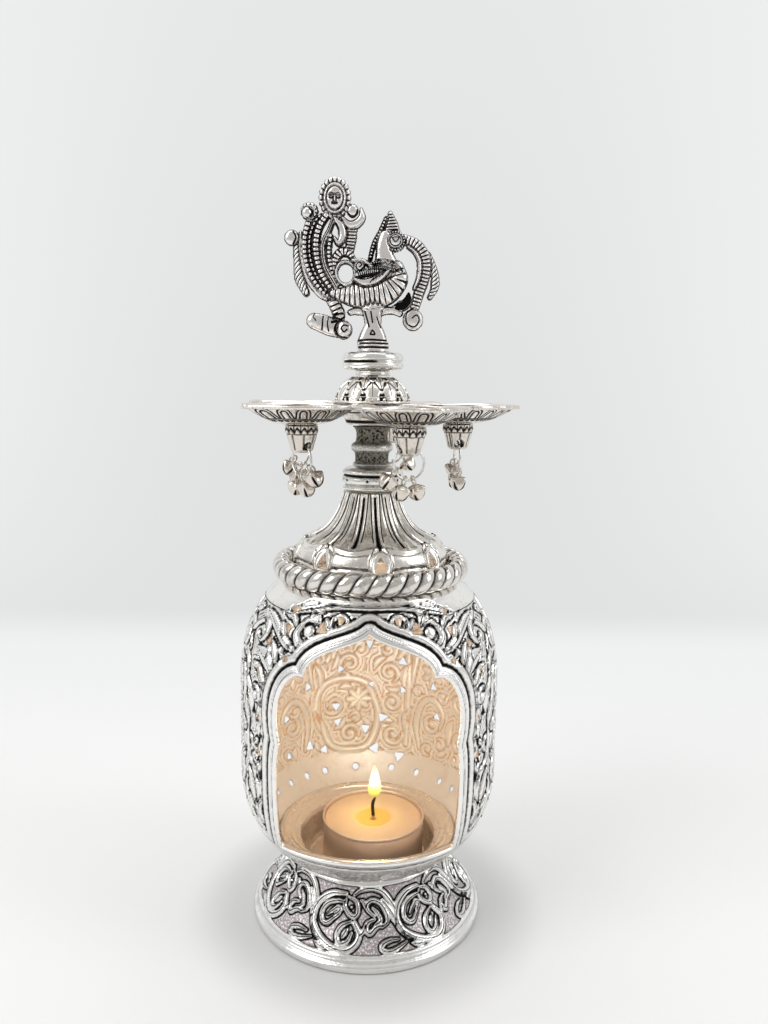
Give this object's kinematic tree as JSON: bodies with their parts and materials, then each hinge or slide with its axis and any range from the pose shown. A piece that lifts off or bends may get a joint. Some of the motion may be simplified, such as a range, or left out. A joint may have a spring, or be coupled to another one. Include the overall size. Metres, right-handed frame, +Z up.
{
  "type": "peacock tealight holder",
  "caption": "Pierced white-metal lantern for a tealight on a round foot, with a fluted roof, a turned stem, a plate of small oil lamps hung with bells, and a cast peacock on top.",
  "frame": {"origin": "centre of the foot, on the table it stands on", "axes": "+Z up along the rod through the whole holder; -Y out of the arch, towards the viewer of the picture; +X to that viewer's right, where the peacock's head is"},
  "size_m": [0.0984, 0.0993, 0.2608],
  "materials": {
    "silver": "cast white metal, bright on the relief and black in the recesses",
    "patina": "white metal darkened all over, with a hammered grain",
    "steel": "plain zinc-plated fasteners",
    "foil": "thin drawn aluminium cup",
    "wax": "candle wax, warm and translucent round the flame",
    "wick": "burnt cotton wick"
  },
  "bodies": {
    "holder": {"foot": "silver", "lantern_body": "silver", "arch_frame": "silver", "candle_pan": "silver", "rope_ring": "silver", "cone_roof": "silver", "stem_collar": "silver", "stem_spool": "patina", "lamp_plate": "silver", "lamp_knob_1": "silver", "lamp_knob_2": "silver", "lamp_knob_3": "silver", "lamp_knob_4": "silver", "lamp_knob_5": "silver", "plate_dome": "silver", "finial_disc": "silver", "peacock_finial": "silver", "rod_washer": "steel", "rod_nut": "steel", "tie_rod": "steel", "base_washer": "steel", "base_nut": "steel", "base_screw": "steel"},
    "tealight": {"tealight_cup": "foil", "tealight_wax": "wax", "wick": "wick", "wick_clip": "steel"},
    "ring_1": {"bell_ring_1": "silver"},
    "bell_1_a": {"bell_1_a": "silver"},
    "bell_1_b": {"bell_1_b": "silver"},
    "bell_1_c": {"bell_1_c": "silver"},
    "ring_2": {"bell_ring_2": "silver"},
    "bell_2_a": {"bell_2_a": "silver"},
    "bell_2_b": {"bell_2_b": "silver"},
    "bell_2_c": {"bell_2_c": "silver"},
    "ring_3": {"bell_ring_3": "silver"},
    "bell_3_a": {"bell_3_a": "silver"},
    "bell_3_b": {"bell_3_b": "silver"},
    "bell_3_c": {"bell_3_c": "silver"},
    "ring_4": {"bell_ring_4": "silver"},
    "bell_4_a": {"bell_4_a": "silver"},
    "bell_4_b": {"bell_4_b": "silver"},
    "bell_4_c": {"bell_4_c": "silver"},
    "ring_5": {"bell_ring_5": "silver"},
    "bell_5_a": {"bell_5_a": "silver"},
    "bell_5_b": {"bell_5_b": "silver"},
    "bell_5_c": {"bell_5_c": "silver"}
  },
  "joints": [
    {"name": "tealight_lift", "type": "slide", "parent": "holder", "child": "tealight", "axis": [0, 0, 1], "range_m": [0, 0.03]},
    {"name": "ring_swing_1", "type": "hinge", "parent": "holder", "child": "ring_1", "pos_m": [0.03009, 0.00263, 0.1734], "axis": [-0.0872, 0.9962, 0], "range_deg": [-55, 55]},
    {"name": "bell_1_a_swing", "type": "hinge", "parent": "ring_1", "child": "bell_1_a", "pos_m": [0.03022, 0.00112, 0.16323], "axis": [-0.0833, 0.9527, -0.2924], "range_deg": [-35, 35]},
    {"name": "bell_1_b_swing", "type": "hinge", "parent": "ring_1", "child": "bell_1_b", "pos_m": [0.02995, 0.00415, 0.16323], "axis": [-0.0833, 0.9527, 0.2924], "range_deg": [-35, 35]},
    {"name": "bell_1_c_swing", "type": "hinge", "parent": "ring_1", "child": "bell_1_c", "pos_m": [0.02967, 0.00736, 0.16609], "axis": [-0.0354, 0.4052, 0.9135], "range_deg": [-35, 35]},
    {"name": "ring_swing_2", "type": "hinge", "parent": "holder", "child": "ring_2", "pos_m": [0.00679, 0.02943, 0.1734], "axis": [-0.9744, 0.225, 0], "range_deg": [-55, 55]},
    {"name": "bell_2_a_swing", "type": "hinge", "parent": "ring_2", "child": "bell_2_a", "pos_m": [0.00531, 0.02977, 0.16323], "axis": [-0.9318, 0.2151, 0.2924], "range_deg": [-35, 35]},
    {"name": "bell_2_b_swing", "type": "hinge", "parent": "ring_2", "child": "bell_2_b", "pos_m": [0.00827, 0.02908, 0.16323], "axis": [-0.9318, 0.2151, -0.2924], "range_deg": [-35, 35]},
    {"name": "bell_2_c_swing", "type": "hinge", "parent": "ring_2", "child": "bell_2_c", "pos_m": [0.01142, 0.02836, 0.16609], "axis": [-0.3963, 0.0915, -0.9135], "range_deg": [-35, 35]},
    {"name": "ring_swing_3", "type": "hinge", "parent": "holder", "child": "ring_3", "pos_m": [-0.02589, 0.01555, 0.1734], "axis": [-0.515, -0.8572, 0], "range_deg": [-55, 55]},
    {"name": "bell_3_a_swing", "type": "hinge", "parent": "ring_3", "child": "bell_3_a", "pos_m": [-0.0251, 0.01686, 0.16323], "axis": [-0.4925, -0.8197, -0.2924], "range_deg": [-35, 35]},
    {"name": "bell_3_b_swing", "type": "hinge", "parent": "ring_3", "child": "bell_3_b", "pos_m": [-0.02667, 0.01425, 0.16323], "axis": [-0.4925, -0.8197, 0.2924], "range_deg": [-35, 35]},
    {"name": "bell_3_c_swing", "type": "hinge", "parent": "ring_3", "child": "bell_3_c", "pos_m": [-0.02833, 0.01148, 0.16609], "axis": [-0.2095, -0.3486, 0.9135], "range_deg": [-35, 35]},
    {"name": "ring_swing_4", "type": "hinge", "parent": "holder", "child": "ring_4", "pos_m": [-0.02279, -0.01981, 0.1734], "axis": [0.6561, -0.7547, 0], "range_deg": [-55, 55]},
    {"name": "bell_4_a_swing", "type": "hinge", "parent": "ring_4", "child": "bell_4_a", "pos_m": [-0.02379, -0.01867, 0.16323], "axis": [0.6274, -0.7217, -0.2924], "range_deg": [-35, 35]},
    {"name": "bell_4_b_swing", "type": "hinge", "parent": "ring_4", "child": "bell_4_b", "pos_m": [-0.02179, -0.02096, 0.16323], "axis": [0.6274, -0.7217, 0.2924], "range_deg": [-35, 35]},
    {"name": "bell_4_c_swing", "type": "hinge", "parent": "ring_4", "child": "bell_4_c", "pos_m": [-0.01968, -0.0234, 0.16609], "axis": [0.2668, -0.307, 0.9135], "range_deg": [-35, 35]},
    {"name": "ring_swing_5", "type": "hinge", "parent": "holder", "child": "ring_5", "pos_m": [0.0118, -0.0278, 0.1734], "axis": [0.9205, 0.3907, 0], "range_deg": [-55, 55]},
    {"name": "bell_5_a_swing", "type": "hinge", "parent": "ring_5", "child": "bell_5_a", "pos_m": [0.0132, -0.02721, 0.16323], "axis": [0.8803, 0.3737, 0.2924], "range_deg": [-35, 35]},
    {"name": "bell_5_b_swing", "type": "hinge", "parent": "ring_5", "child": "bell_5_b", "pos_m": [0.0104, -0.02839, 0.16323], "axis": [0.8803, 0.3737, -0.2924], "range_deg": [-35, 35]},
    {"name": "bell_5_c_swing", "type": "hinge", "parent": "ring_5", "child": "bell_5_c", "pos_m": [0.00743, -0.02966, 0.16609], "axis": [0.3744, 0.1589, -0.9135], "range_deg": [-35, 35]}
  ]
}
